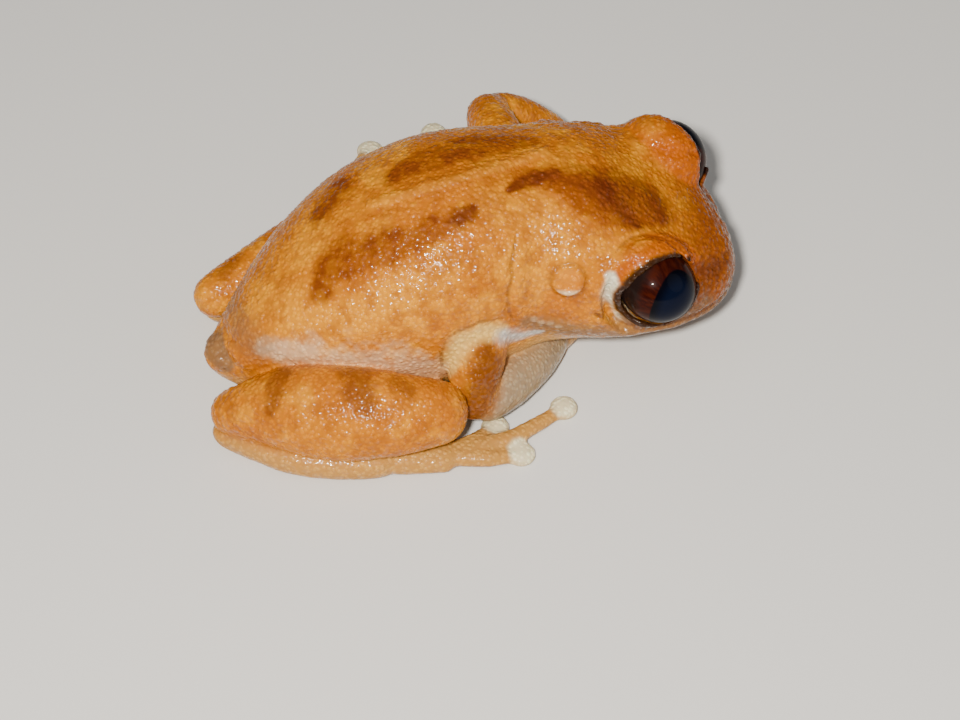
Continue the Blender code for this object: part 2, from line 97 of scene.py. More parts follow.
# The studio lights
# A small key light beside the camera breaks into sparks on the wet grain of the skin.
# A broad soft light above the camera and one from the right fill the shadows.
WORLD_COLOUR = (0.84, 0.82, 0.79, 1.0)
WORLD_STRENGTH = 0.12
LIGHTS = [                  # name, place, size, power and colour
    ("key", (-0.020, -0.170, 0.205), 0.018, 1.1, (1.0, 0.95, 0.87)),
    ("overhead", (-0.05, -0.16, 0.48), 0.60, 0.50, (1.0, 0.99, 0.97)),
    ("fill", (0.40, -0.10, 0.22), 0.40, 0.25, (0.96, 0.98, 1.0)),
]
for light_name, place, size, power, colour in LIGHTS:
    light_data = bpy.data.lights.new(light_name, "AREA")
    light_data.shape = "DISK"
    light_data.size = size
    light_data.energy = power
    light_data.color = colour
    light = bpy.data.objects.new(light_name, light_data)
    light.location = place
    light.rotation_euler = (-Vector(place)).to_track_quat("-Z", "Y").to_euler()
    scene.collection.objects.link(light)
world = bpy.data.worlds.new("studio")
world.use_nodes = True
world.node_tree.nodes["Background"].inputs["Color"].default_value = WORLD_COLOUR
world.node_tree.nodes["Background"].inputs["Strength"].default_value = WORLD_STRENGTH
scene.world = world

# The body under the skin
# One moist skin covers torso, head, limbs and digits without a seam. Here the solids of the frame
# are turned into fields of depth in millimetres, softened, run together at the joints and kept
# apart where limbs only fold against each other.
VOXEL = 0.13            # the grid's step
BAND = 2.1              # the fields hold depths up to this
MARGIN = 2.0            # room left round the solids
SWELL = 0.16            # closes the clearance between the solids
TRIM = 0.07             # takes part of the swelling back at the end
CORE_FILLET = 1.0       # between torso and head
CORE_SOFTNESS = 0.42
CONTACT = 0.6           # points this much further than the closest still belong to a joint
low_corner = np.floor((np.array(cad_box[0]) * 1000 - MARGIN) / VOXEL).astype(int)
high_corner = np.ceil((np.array(cad_box[1]) * 1000 + MARGIN) / VOXEL).astype(int)
grid_size = high_corner - low_corner + 1


def window_between(low, high):
    """Slices of the grid between two corners in millimetres."""
    first = np.maximum(np.floor(np.array(low) / VOXEL).astype(int) - low_corner, 0)
    last = np.minimum(np.ceil(np.array(high) / VOXEL).astype(int) - low_corner, grid_size - 1)
    return tuple(slice(int(a), int(b) + 1) for a, b in zip(first, last))


def window_of(names):
    """Slices of the grid that hold these nodes."""
    boxes = np.array([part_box(name) for name in names]) * 1000
    return window_between(boxes[:, 0].min(axis=0) - MARGIN, boxes[:, 1].max(axis=0) + MARGIN)


def node_points(name):
    """The corners of a node's mesh in millimetres."""
    points = np.empty(len(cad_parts[name].data.vertices) * 3, np.float32)
    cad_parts[name].data.vertices.foreach_get("co", points)
    return points.reshape(-1, 3) * 1000


def node_triangles(name):
    """The triangles of a node's mesh."""
    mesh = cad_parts[name].data
    mesh.calc_loop_triangles()
    corners = np.empty(len(mesh.loop_triangles) * 3, np.int32)
    mesh.loop_triangles.foreach_get("vertices", corners)
    return corners.reshape(-1, 3)


def node_field(name, window):
    """Depth of one node in millimetres, negative inside, over a window of the grid."""
    level = vdb.FloatGrid.createLevelSetFromPolygons(
        node_points(name), triangles=node_triangles(name).astype(np.uint32),
        transform=vdb.createLinearTransform(voxelSize=VOXEL), halfWidth=BAND / VOXEL)
    field = np.full([s.stop - s.start for s in window], BAND, np.float32)
    level.copyToArray(field, ijk=[int(s.start + c) for s, c in zip(window, low_corner)])
    return field


def soften(field, sigma):
    """Blurs a field by about a Gaussian of sigma millimetres, with three running means a side."""
    reach = max(1, int(round((math.sqrt(4.0 * (sigma / VOXEL) ** 2 + 1.0) - 1.0) / 2.0)))
    for axis in range(3):
        for turn in range(3):
            padded = np.concatenate([np.repeat(np.take(field, [0], axis), reach + 1, axis), field,
                                     np.repeat(np.take(field, [-1], axis), reach, axis)], axis)
            total = np.cumsum(padded, axis=axis, dtype=np.float64)
            count = field.shape[axis]
            ahead_sum = np.take(total, np.arange(2 * reach + 1, 2 * reach + 1 + count), axis)
            behind_sum = np.take(total, np.arange(0, count), axis)
            field = ((ahead_sum - behind_sum) / (2 * reach + 1)).astype(np.float32)
    return field


def run_together(a, b, width):
    """Union of two fields with a fillet about as wide as width, a number or a field."""
    blend = np.maximum(width - np.abs(a - b), 0.0) / width
    return np.minimum(a, b) - blend * blend * width * 0.25


def grid_axes(window):
    """The three coordinates of a window's points in millimetres, ready to broadcast."""
    axes = []
    for axis, part in enumerate(window):
        line = (np.arange(part.start, part.stop) + low_corner[axis]) * VOXEL
        shape = [1, 1, 1]
        shape[axis] = len(line)
        axes.append(line.reshape(shape).astype(np.float32))
    return axes


def nearness(window, point, reach):
    """1 at a point in millimetres and falling to 0 about two reaches away."""
    x, y, z = grid_axes(window)
    square = (x - point[0]) ** 2 + (y - point[1]) ** 2 + (z - point[2]) ** 2
    return np.exp(-square / (2 * reach * reach))


def shared_point(first, second):
    """The middle of the place where two nodes come closest, in millimetres."""
    clouds = [node_points(first), node_points(second)]
    apart = np.linalg.norm(clouds[0][:, None] - clouds[1][None], axis=2)
    rows = np.nonzero((apart < apart.min() + CONTACT).any(axis=1))[0]
    return clouds[0][rows].mean(axis=0)


def smooth_step(value, start, end):
    """0 below start, 1 above end, and smooth between."""
    t = np.clip((value - start) / (end - start), 0.0, 1.0)
    return t * t * (3 - 2 * t)


# The head's own directions and the picture's lines of sight
# The head is turned, so its directions come from the two eyes. Folds and marks are placed where
# lines of sight through points of the picture meet the skin.
SIDES = (("right", -1), ("left", 1))
HEAD_YAW = math.radians(-6.5)
eye_middle = {}
for side_word, side in SIDES:
    eye_box = np.array(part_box("eye_" + side_word)) * 1000
    eye_middle[side_word] = Vector(eye_box.mean(axis=0))
EYE_RADIUS = float(eye_box[1][0] - eye_box[0][0]) / 2
head_middle = (eye_middle["right"] + eye_middle["left"]) / 2
head_ahead = Vector((math.cos(HEAD_YAW), math.sin(HEAD_YAW), 0.0))
head_left = (eye_middle["left"] - eye_middle["right"]).normalized()
head_up = head_ahead.cross(head_left).normalized()

solid_nodes = [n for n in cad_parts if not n.startswith("eye")]
CAMERA_MM = CAMERA_PLACE * 1000
VIEW_AHEAD = Vector((0.0, math.cos(CAMERA_DOWN), -math.sin(CAMERA_DOWN)))
VIEW_UP = Vector((0.0, math.sin(CAMERA_DOWN), math.cos(CAMERA_DOWN)))


def sight(px, py):
    """Unit direction from the camera through a point of the picture."""
    across = (px - PICTURE_WIDE / 2) / FOCAL_PIXELS
    down = (py - PICTURE_HIGH / 2) / FOCAL_PIXELS
    return (VIEW_AHEAD + Vector((across, 0, 0)) - VIEW_UP * down).normalized()


def places(pixels, tree):
    """Points in millimetres where lines of sight through picture points meet a surface."""
    found = []
    for px, py in pixels:
        hit = tree.ray_cast(CAMERA_MM, sight(px, py))[0]
        if hit is not None:
            found.append(hit)
    return found


def head_mirror(points, tree):
    """The same places on the other side of the head."""
    other = []
    for point in points:
        across = (point - head_middle).dot(head_left)
        other.append(tree.find_nearest(point - head_left * 2 * across)[0])
    return other


core_window = window_of(["torso", "head", "eye_left", "eye_right"])
core = run_together(node_field("torso", core_window) - SWELL,
                    node_field("head", core_window) - SWELL, CORE_FILLET)
for side_word, side in SIDES:
    core = np.minimum(core, node_field("tympanum_" + side_word, core_window) - 2 * SWELL)
core = soften(core, CORE_SOFTNESS)
core_low = [s.start for s in core_window]

# The lids and eye openings
# Each eye lies in a thin dome of orange skin that is creased off from the crown in front and runs
# into the head behind. Its edge hugs the eyeball and is drawn to a corner in front and behind.
LID_THIN = 0.30             # over the eyeball at the edge of the opening
LID_THICK = 0.95            # over the eyeball at the top of the dome
LID_BACK = 0.6              # the dome's middle lies behind the eyeball's
LID_BEVEL = 0.9             # how fast the skin may rise from the edge of the opening
LID_REACH = 2.5             # how far from the edge the bevel acts
LID_RISE = (0.1, 2.2)       # it thickens between these distances from the edge
DOME_UP = 0.12              # the dome's middle lies above the eyeball's
DOME_FILLET = (0.5, 1.6)    # where the dome meets the head in front, and how much more behind
DOME_BEHIND = (-0.5, 3.0)   # the fillet grows between these distances behind the eye's middle
BEVEL_END = (3.0, 1.0)      # the bevel's fall towards LID_REACH, and where that starts
BEVEL_AWAY = (6.0, 4.7, 6.4)    # its fall far from the eye, and where that starts and ends
EDGE_FILLET = 0.3
BALL_GAP = 0.07             # the skin reaches this far into the eyeball
EYE_WINDOW = Vector((7, 7, 7))
OPENING_LOOK = (0.42, 0.85, 0.32)
OPENING_EDGE = {            # degrees round the opening from ahead, and degrees from where it faces
    "right": [(-180, 76), (-148, 84), (-117, 66), (-87, 58), (-50, 58), (-13, 63), (20, 69),
              (45, 71), (61, 70), (86, 64), (124, 60), (161, 65), (180, 76)],
    "left": [(-180, 72), (-148, 80), (-117, 66), (-87, 58), (-50, 59), (-13, 65), (20, 68),
             (45, 65), (61, 57), (86, 45), (124, 42), (161, 57), (180, 72)],
}


def opening_axes(side):
    """The way an eye opening faces, and the directions ahead and up across it."""
    look = (head_ahead * OPENING_LOOK[0] + head_left * side * OPENING_LOOK[1]
            + head_up * OPENING_LOOK[2]).normalized()
    front = (head_ahead - look * head_ahead.dot(look)).normalized()
    above = look.cross(front) * side
    if above.dot(head_up) < 0:
        above = -above
    return look, front, above


def lid_margin(x, y, z, side_word, side):
    """Millimetres from the edge of an eye opening, negative inside it, and from the eye's middle."""
    look, front, above = opening_axes(side)
    middle = eye_middle[side_word]
    x, y, z = x - middle.x, y - middle.y, z - middle.z
    far = np.sqrt(x * x + y * y + z * z) + 1e-6
    polar = np.degrees(np.arccos(np.clip((x * look.x + y * look.y + z * look.z) / far, -1, 1)))
    turn = np.degrees(np.arctan2(x * above.x + y * above.y + z * above.z,
                                 x * front.x + y * front.y + z * front.z))
    edge = np.interp(turn, *zip(*OPENING_EDGE[side_word]))
    return np.radians(polar - edge) * EYE_RADIUS, far


for side_word, side in SIDES:
    middle = eye_middle[side_word]
    window = window_between(middle - EYE_WINDOW, middle + EYE_WINDOW)
    inner = tuple(slice(s.start - low, s.stop - low) for s, low in zip(window, core_low))
    inner = tuple(slice(max(s.start, 0), min(s.stop, n)) for s, n in zip(inner, core.shape))
    window = tuple(slice(s.start + low, s.stop + low) for s, low in zip(inner, core_low))
    x, y, z = grid_axes(window)
    margin, far = lid_margin(x, y, z, side_word, side)
    dome = middle - head_ahead * LID_BACK + head_up * DOME_UP
    dome_far = np.sqrt((x - dome.x) ** 2 + (y - dome.y) ** 2 + (z - dome.z) ** 2)
    thick = LID_THIN + (LID_THICK - LID_THIN) * smooth_step(margin, *LID_RISE)
    lid = np.minimum(dome_far - EYE_RADIUS - thick, far - EYE_RADIUS - LID_THIN)
    forward = ((x - middle.x) * head_ahead.x + (y - middle.y) * head_ahead.y
               + (z - middle.z) * head_ahead.z)
    width = DOME_FILLET[0] + DOME_FILLET[1] * smooth_step(-forward, *DOME_BEHIND)
    local = run_together(core[inner], lid, width)
    bevel = far - EYE_RADIUS - LID_THIN - LID_BEVEL * np.maximum(margin, 0.0)
    bevel = bevel - BEVEL_END[0] * smooth_step(margin, BEVEL_END[1], LID_REACH)
    bevel = bevel - BEVEL_AWAY[0] * smooth_step(far, *BEVEL_AWAY[1:])
    local = np.where(margin < LID_REACH, -run_together(-local, -bevel, EDGE_FILLET), local)
    local = -run_together(-local, margin, EDGE_FILLET)
    local = np.maximum(local, EYE_RADIUS - BALL_GAP - far)
    core[inner] = local

# The limbs
# Thighs, shanks, tarsi, arms, hands and feet are soft at their joints. Where a folded limb only
# lies against its neighbour the skins stay apart and leave a fine dark crease.
JOINT_REACH = 1.6           # how far round a joint the fillet is wide
FOLDED_FILLET = 0.12        # the fillet away from the joint
LIMB_CHAINS = [             # parts, widths of the fillets at their joints, and softness
    (["thigh", "shank", "tarsus", "foot"], [2.6, 1.6, 1.0, 0.7], [0.45, 0.45, 0.35, 0.12]),
    (["upper_arm", "forearm", "hand"], [2.6, 1.2, 0.8], [0.4, 0.35, 0.12]),
]
skin_field = np.full(grid_size, BAND, np.float32)
skin_field[core_window] = core
part_fields = {"core": (core_window, core)}
for chain, joint_widths, sigmas in LIMB_CHAINS:
    for side_word, side in SIDES:
        names = [part + "_" + side_word for part in chain]
        window = window_of(names)
        limb_field = None
        previous = "torso"
        for name, joint_width, sigma in zip(names, joint_widths, sigmas):
            field = soften(node_field(name, window) - SWELL, sigma)
            part_fields[name] = (window, field)
            joint = shared_point(previous, name)
            width = FOLDED_FILLET + joint_width * nearness(window, joint, JOINT_REACH)
            if limb_field is None:
                limb_field = field
                root_width = width
            else:
                limb_field = run_together(limb_field, field, width)
            previous = name
        skin_field[window] = run_together(skin_field[window], limb_field, root_width)
skin_field += TRIM

# Folds, ears, mouth and nostrils
# The skin is creased at the neck and arm, let in along the mouth, drawn tight over the round ear
# drum with a firm rim, and pinched into two nostrils.


def chain_nearness(window, points, widths):
    """1 on a chain of points and falling away within each point's width."""
    x, y, z = grid_axes(window)
    nearest = np.full([s.stop - s.start for s in window], 9.0, np.float32)
    for k in range(max(len(points) - 1, 1)):
        a = points[k]
        b = points[min(k + 1, len(points) - 1)]
        way = b - a
        along = ((x - a.x) * way.x + (y - a.y) * way.y + (z - a.z) * way.z)
        along = np.clip(along / max(way.length_squared, 1e-6), 0, 1)
        square = ((x - a.x - along * way.x) ** 2 + (y - a.y - along * way.y) ** 2
                  + (z - a.z - along * way.z) ** 2)
        width = widths[k] + (widths[min(k + 1, len(widths) - 1)] - widths[k]) * along
        nearest = np.minimum(nearest, square / (width * width))
    return np.exp(-nearest)


def shape_skin(points, widths, height):
    """Raises the skin along a chain of points by height millimetres, or lets it in below 0."""
    if len(points) == 0:
        return
    if not isinstance(widths, (list, tuple)):
        widths = [widths] * len(points)
    reach = 3 * max(widths)
    low = [min(p[i] for p in points) - reach for i in range(3)]
    high = [max(p[i] for p in points) + reach for i in range(3)]
    window = window_between(low, high)
    skin_field[window] -= height * chain_nearness(window, points, widths)


def field_sheet():
    """The outer face of the skin's field as points in millimetres and quadrilaterals."""
    level = vdb.FloatGrid(BAND)
    level.copyFromArray(skin_field, ijk=[int(c) for c in low_corner])
    level.transform = vdb.createLinearTransform(voxelSize=VOXEL)
    points, quads = level.convertToQuads(isovalue=0.0)
    return points.astype(np.float64), quads.astype(np.int64)


plain_points, plain_quads = field_sheet()
plain_tree = BVHTree.FromPolygons(plain_points.tolist(), plain_quads.tolist())

# Paths through points of the picture, widths and height in millimetres
FOLDS = [
    ([(516, 232), (514, 250), (511, 264), (512, 277), (508, 290), (508, 302), (509, 312),
      (514, 321)],
     [0.12, 0.18, 0.24, 0.24, 0.3, 0.34, 0.34, 0.2], -0.34),
    ([(522, 250), (519, 275), (517, 298), (520, 315)], 0.7, 0.22),
    ([(497, 258), (496, 280), (499, 302)], [0.15, 0.22, 0.15], -0.12),
    ([(487, 300), (480, 316), (466, 328)], [0.15, 0.22, 0.15], -0.12),
    ([(503, 318), (480, 322), (458, 331), (447, 338)], [0.2, 0.25, 0.25, 0.2], -0.2),
    ([(446, 340), (441, 352), (442, 366), (446, 382)], [0.2, 0.25, 0.25, 0.2], -0.25),
    ([(372, 205), (400, 196), (440, 184), (480, 172), (520, 160), (545, 151)],
     [0.45, 0.6, 0.6, 0.6, 0.55, 0.4], 0.34),
    ([(220, 326), (226, 334), (234, 341)], [0.5, 0.7, 0.4], -0.35),
    ([(212, 350), (217, 362)], [1.0, 0.8], 0.25),
    ([(226, 352), (232, 362), (240, 372)], [0.3, 0.35, 0.3], -0.2),
    ([(243, 352), (250, 362), (256, 368)], [0.35, 0.4, 0.3], 0.2),
    ([(262, 352), (280, 356), (300, 365)], [0.2, 0.25, 0.2], -0.16),
    ([(616, 252), (622, 245), (632, 238), (646, 235), (664, 238), (678, 246), (688, 256)],
     [0.2, 0.3, 0.34, 0.36, 0.36, 0.34, 0.2], -0.42),
    ([(603, 311), (612, 315), (620, 321), (630, 326)], [0.1, 0.2, 0.24, 0.2], -0.3),
    ([(698, 268), (708, 270), (718, 269)], [0.7, 0.9, 0.6], -0.35),
    ([(212, 436), (218, 445)], [0.9, 0.8], -0.9),
    ([(211, 342)], 0.65, 0.4),
    ([(209, 353), (214, 364)], [0.6, 0.6], 0.35),
    ([(221, 346), (225, 356), (233, 366)], [0.3, 0.35, 0.25], -0.4),
    ([(232, 344), (238, 356), (246, 366)], [0.4, 0.45, 0.3], 0.3),
    ([(545, 290), (560, 300), (580, 305), (600, 300)], [0.5, 0.6, 0.6, 0.4], -0.12),
]
MIRRORED_FOLDS = (0, 1, 12, 13, 14)
# Folds whose creases also get painted shade
SHADED_FOLDS = (0, 4, 5, 12, 13)
RIDGE_FOLD = 6
for pixels, widths, height in FOLDS:
    shape_skin(places(pixels, plain_tree), widths, height)
for index in MIRRORED_FOLDS:
    pixels, widths, height = FOLDS[index]
    shape_skin(head_mirror(places(pixels, plain_tree), plain_tree), widths, height)

# Degrees from straight ahead round the snout, and millimetres below the eyes
MOUTH_LINE = [(116, -0.9), (113, -1.3), (108.5, -1.95), (103, -2.5), (97, -3.1), (91, -3.6),
              (80, -3.9), (65, -4.0), (50, -4.0), (35, -4.05), (18, -4.1), (0, -4.1)]
MOUTH_WIDE = 0.24
MOUTH_DEEP = 0.34
LIP_BELOW, LIP_WIDE, LIP_HIGH = 0.75, 0.5, 0.12
mouth_points = []
for side_word, side in SIDES:
    row = []
    for angle, up in MOUTH_LINE:
        way = (head_ahead * math.cos(math.radians(angle))
               + head_left * side * math.sin(math.radians(angle)))
        hit = plain_tree.ray_cast(head_middle + head_up * up + way * 30, -way)[0]
        if hit is not None:
            row.append(hit)
    mouth_points.append(row)
    shape_skin(row, MOUTH_WIDE, -MOUTH_DEEP)
    lower_lip = [p - head_up * LIP_BELOW for p in row]
    shape_skin(lower_lip, LIP_WIDE, LIP_HIGH)

TUBERCLES = [(541, 323), (550, 324), (534, 319), (558, 327)]
TUBERCLE_HIGH = [0.42, 0.46, 0.26, 0.24]
TUBERCLE_WIDE = 0.34
for pixel, high in zip(TUBERCLES, TUBERCLE_HIGH):
    spot = places([(pixel[0], pixel[1] - 2)], plain_tree)
    shape_skin(spot, TUBERCLE_WIDE, high)
    shape_skin(head_mirror(spot, plain_tree), TUBERCLE_WIDE, high)

NOSTRIL = (5.75, 2.1, -1.2)         # ahead, out and up from the middle between the eyes
NOSTRIL_SWELLING = (0.62, 0.22)     # width and height
NOSTRIL_HOLE = (0.24, -0.5)
nostrils = []
for side_word, side in SIDES:
    outward = head_left * side
    guess = head_middle + head_ahead * NOSTRIL[0] + outward * NOSTRIL[1] + head_up * NOSTRIL[2]
    spot = plain_tree.find_nearest(guess)[0]
    nostrils.append(spot)
    shape_skin([spot], *NOSTRIL_SWELLING)
    shape_skin([spot + outward * 0.1, spot + outward * 0.25 - head_ahead * 0.25], *NOSTRIL_HOLE)

EAR_RADIUS = 1.12
EAR_RIM_WIDE = 0.22
EAR_RIM_HIGH = (0.28, 0.18)         # its height, and how much more at its lower side
EAR_MOAT = (0.5, 0.3, 0.06)         # outside the rim: distance, width and depth
EAR_DRUM = (0.1, 0.4, 0.10)         # inside the rim: where it falls, and its depth
EAR_BOSS = (0.5, 0.08)              # at the middle: width and height
EAR_WINDOW = Vector((3, 3, 3))
ear_tops = []
for side_word, side in SIDES:
    disc = node_points("tympanum_" + side_word)
    disc_middle = disc.mean(axis=0)
    axis = np.linalg.svd(disc - disc_middle)[2][2]
    if np.dot(axis, np.array(head_left) * side) < 0:
        axis = -axis
    top = Vector(disc_middle + axis * ((disc - disc_middle) @ axis).max())
    ear_tops.append(top)
    window = window_between(top - EAR_WINDOW, top + EAR_WINDOW)
    x, y, z = grid_axes(window)
    x, y, z = x - top.x, y - top.y, z - top.z
    height = x * axis[0] + y * axis[1] + z * axis[2]
    across = np.sqrt(np.maximum(x * x + y * y + z * z - height * height, 0))
    low_side = np.clip(-(x * head_up.x + y * head_up.y + z * head_up.z) / EAR_RADIUS, -1, 1)
    rim = np.exp(-((across - EAR_RADIUS) / EAR_RIM_WIDE) ** 2)
    rim = rim * (EAR_RIM_HIGH[0] + EAR_RIM_HIGH[1] * low_side)
    moat = np.exp(-((across - EAR_RADIUS - EAR_MOAT[0]) / EAR_MOAT[1]) ** 2) * EAR_MOAT[2]
    drum = smooth_step(-across, EAR_DRUM[0] - EAR_RADIUS, EAR_DRUM[1] - EAR_RADIUS) * EAR_DRUM[2]
    boss = np.exp(-(across / EAR_BOSS[0]) ** 2) * EAR_BOSS[1]
    skin_field[window] -= (rim - moat - drum + boss) * np.exp(-height ** 2)

FOLD_SOFTNESS = 0.1
skin_field = soften(skin_field, FOLD_SOFTNESS)

# The skin's mesh
# The outer face of the field is drawn as one closed sheet of small quadrilaterals and relaxed.
# Then it gets the round grains and soft lumps of frog skin.
RELAXING = (0.5, -0.52, 0.5, -0.52)
GRAIN_ROUNDNESS = 0.36
SHARE_SHARPNESS = 3.2
GRAIN_SPACING, GRAIN_HIGH = 0.48, 0.09
PALE_GRAIN_LESS = 0.04      # the grain of hands, feet and shins is this much lower
FINE_SPACING, FINE_HIGH = 0.30, 0.012
LUMP_SIZE, LUMP_HIGH = 2.4, 0.16
FLOOR_CLEARANCE = 0.01
skin_points, skin_quads = field_sheet()


def point_normals(points, quads):
    """Outward unit normals of a mesh of quadrilaterals."""
    a, b, c, d = (points[quads[:, k]] for k in range(4))
    face = np.cross(c - a, d - b)
    normals = np.zeros_like(points)
    for k in range(4):
        for axis in range(3):
            normals[:, axis] += np.bincount(quads[:, k], face[:, axis], len(points))
    return normals / np.maximum(np.linalg.norm(normals, axis=1, keepdims=True), 1e-12)


def relaxed(points, quads, amount):
    """Moves each point part of the way to the middle of its neighbours."""
    total = np.zeros_like(points)
    count = np.zeros(len(points))
    for k in range(4):
        start = quads[:, k]
        end = quads[:, (k + 1) % 4]
        for axis in range(3):
            total[:, axis] += np.bincount(start, points[end, axis], len(points))
            total[:, axis] += np.bincount(end, points[start, axis], len(points))
        count += np.bincount(start, minlength=len(points)) + np.bincount(end, minlength=len(points))
    return points + (total / count[:, None] - points) * amount


for amount in RELAXING:
    skin_points = relaxed(skin_points, skin_quads, amount)


def lattice_value(cells, seed):
    """A fixed random number from 0 to 1 for each whole cell."""
    mixed = (cells[:, 0] * 73856093) ^ (cells[:, 1] * 19349663) ^ (cells[:, 2] * 83492791)
    mixed = mixed ^ (seed * 2654435)
    mixed = (mixed ^ (mixed >> 13)) * 1274126177
    mixed = mixed ^ (mixed >> 16)
    return (mixed & 0xFFFFFF) / float(0xFFFFFF)


def cloud(points, size, seed):
    """Soft noise from 0 to 1 with features about as large as size millimetres."""
    total = np.zeros(len(points))
    weight = 0.0
    for octave, share in enumerate((1.0, 0.5, 0.25)):
        scaled = points / (size / 2 ** octave)
        base = np.floor(scaled).astype(np.int64)
        part = scaled - base
        part = part * part * (3 - 2 * part)
        value = np.zeros(len(points))
        for corner in range(8):
            offset = np.array([corner & 1, (corner >> 1) & 1, (corner >> 2) & 1])
            share_here = np.prod(np.where(offset == 1, part, 1 - part), axis=1)
            value += share_here * lattice_value(base + offset, seed + octave)
        total += value * share
        weight += share
    return total / weight


def granules(points, spacing, seed):
    """Heights from 0 to 1 of round grains that lie about spacing millimetres apart."""
    scaled = points / spacing
    base = np.floor(scaled).astype(np.int64)
    nearest = np.full(len(points), 9.0)
    for i in (-1, 0, 1):
        for j in (-1, 0, 1):
            for k in (-1, 0, 1):
                cell = base + np.array([i, j, k])
                spot = cell + np.stack([lattice_value(cell, seed + n) for n in range(3)], axis=1)
                nearest = np.minimum(nearest, ((scaled - spot) ** 2).sum(axis=1))
    return np.maximum(1 - nearest / GRAIN_ROUNDNESS, 0.0)


def sampled(name, points):
    """A part's field at points, in millimetres."""
    window, field = part_fields[name]
    index = np.rint(points / VOXEL).astype(int) - low_corner - [s.start for s in window]
    inside = np.all((index >= 0) & (index < field.shape), axis=1)
    value = np.full(len(points), BAND)
    value[inside] = field[tuple(index[inside].T)]
    return value


depths = {name: sampled(name, skin_points) for name in part_fields}
shallowest = np.minimum.reduce(list(depths.values()))
shares = {name: np.exp(-SHARE_SHARPNESS * (depth - shallowest)) for name, depth in depths.items()}
all_shares = sum(shares.values())


def share_of(*parts):
    """How much a point belongs to these parts, from 0 to 1."""
    total = 0
    for name, share in shares.items():
        if name.split("_left")[0].split("_right")[0] in parts:
            total = total + share
    return total / all_shares


skin_normals = point_normals(skin_points, skin_quads)
on_core = share_of("core")
on_feet = share_of("foot", "hand")
on_pale = share_of("foot", "hand", "tarsus", "forearm")
up_facing = smooth_step(skin_normals[:, 2], -0.35, 0.25)
grain = granules(skin_points, GRAIN_SPACING, 11)
fine_grain = granules(skin_points, FINE_SPACING, 29)
lump = cloud(skin_points, LUMP_SIZE, 5) - 0.5
grain_high = (GRAIN_HIGH - PALE_GRAIN_LESS * on_pale) * (0.25 + 0.75 * up_facing)
rise = grain * grain_high + fine_grain * FINE_HIGH + lump * LUMP_HIGH * (1 - 0.7 * on_feet)
skin_points = skin_points + skin_normals * rise[:, None]
skin_points[:, 2] = np.maximum(skin_points[:, 2], FLOOR_CLEARANCE)

skin_mesh = bpy.data.meshes.new("skin")
skin_mesh.from_pydata((skin_points * 0.001).tolist(), [], skin_quads.tolist())
skin_mesh.shade_smooth()
skin = bpy.data.objects.new("skin", skin_mesh)
scene.collection.objects.link(skin)
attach(skin, "root")
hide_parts(*solid_nodes)
skin_tree = BVHTree.FromPolygons(skin_points.tolist(), skin_quads.tolist())

# The skin's markings
# Two broad brown bands down the back, a dark mark between the eyes, bars on the shanks, orange
# lids with a dark rim and a white patch behind each eye. Flanks and belly fade to pale lilac and
# cream, and the digits end in cream discs. Painted shade darkens the snout, jaw, throat, right
# forearm, creases, nostrils and ear moats, and painted highlights lighten the shoulder, low flank,
# arm top, back ridge and ear rims. Each marking is a mask on the mesh.


def marked(points, widths, wander=0.0, blur=0.3):
    """1 on a chain of surface points and falling away at its width, with a wandering edge."""
    if not isinstance(widths, (list, tuple)):
        widths = [widths] * len(points)
    nearest = np.full(len(skin_points), 99.0)
    for k in range(max(len(points) - 1, 1)):
        a = np.array(points[k])
        b = np.array(points[min(k + 1, len(points) - 1)])
        way = b - a
        along = np.clip((skin_points - a) @ way / max(way @ way, 1e-6), 0, 1)
        apart = np.linalg.norm(skin_points - a - along[:, None] * way, axis=1)
        width = widths[k] + (widths[min(k + 1, len(widths) - 1)] - widths[k]) * along
        nearest = np.minimum(nearest, apart / width)
    return 1 - smooth_step(nearest + wander * edge_noise, 1 - blur, 1 + 0.7 * blur)


def on_skin(pixels):
    """Points of the skin under points of the picture."""
    return places(pixels, skin_tree)


def strongest(*masks):
    """The highest of several masks at each point."""
    return np.maximum.reduce(masks)


def painted(rows, both_sides=False):
    """Marks given by path in the picture, widths, wander, blur and strength."""
    masks = []
    for path, widths, wander, blur, strength in rows:
        chains = [on_skin(path)]
        if both_sides:
            chains.append(head_mirror(chains[0], skin_tree))
        masks.extend(marked(chain, widths, wander, blur) * strength for chain in chains)
    return strongest(*masks)


def around(spots, start, end, wander=0.0):
    """1 near any of these spots, falling to 0 between two distances."""
    mask = np.zeros(len(skin_points))
    for spot in spots:
        apart = np.linalg.norm(skin_points - np.array(spot), axis=1)
        mask = np.maximum(mask, 1 - smooth_step(apart + wander * edge_noise, start, end))
    return mask


BAND_MARKS = [
    ([(320, 292), (328, 272), (340, 254), (352, 250)], [1.0, 1.5, 1.6, 1.1], 0.5, 0.5, 1),
    ([(340, 266), (375, 252), (405, 243), (430, 232), (450, 224), (470, 213)],
     [1.4, 1.7, 1.4, 1.3, 1.2, 1.0], 0.5, 0.5, 1),
    ([(318, 214), (328, 200), (342, 184)], [1.1, 1.7, 1.4], 0.6, 0.6, 1),
    ([(392, 176), (430, 159), (467, 148), (505, 142), (530, 141)],
     [1.1, 1.7, 1.9, 1.6, 0.9], 0.5, 0.5, 1),
    ([(508, 190), (526, 179), (555, 173), (580, 177), (602, 190)],
     [0.35, 0.9, 1.1, 1.4, 1.5], 0.5, 0.6, 1),
]
DEEP_MARKS = [
    ([(456, 220), (465, 215), (474, 209)], [0.7, 0.9, 0.5], 0.6, 0.7, 0.75),
    ([(600, 172), (622, 180), (645, 188)], [1.1, 1.4, 1.2], 0.5, 0.75, 0.7),
    ([(602, 178), (614, 198), (628, 216), (638, 226)], [1.2, 1.4, 1.1, 0.7], 0.5, 0.75, 0.75),
    ([(648, 190), (660, 205), (664, 214)], [1.1, 1.4, 1.0], 0.5, 0.75, 0.8),
    ([(622, 192), (640, 202), (655, 212)], [1.4, 1.7, 1.2], 0.5, 0.8, 0.45),
    ([(510, 190), (526, 181), (545, 176)], [0.3, 0.6, 0.5], 0.4, 0.6, 0.6),
]
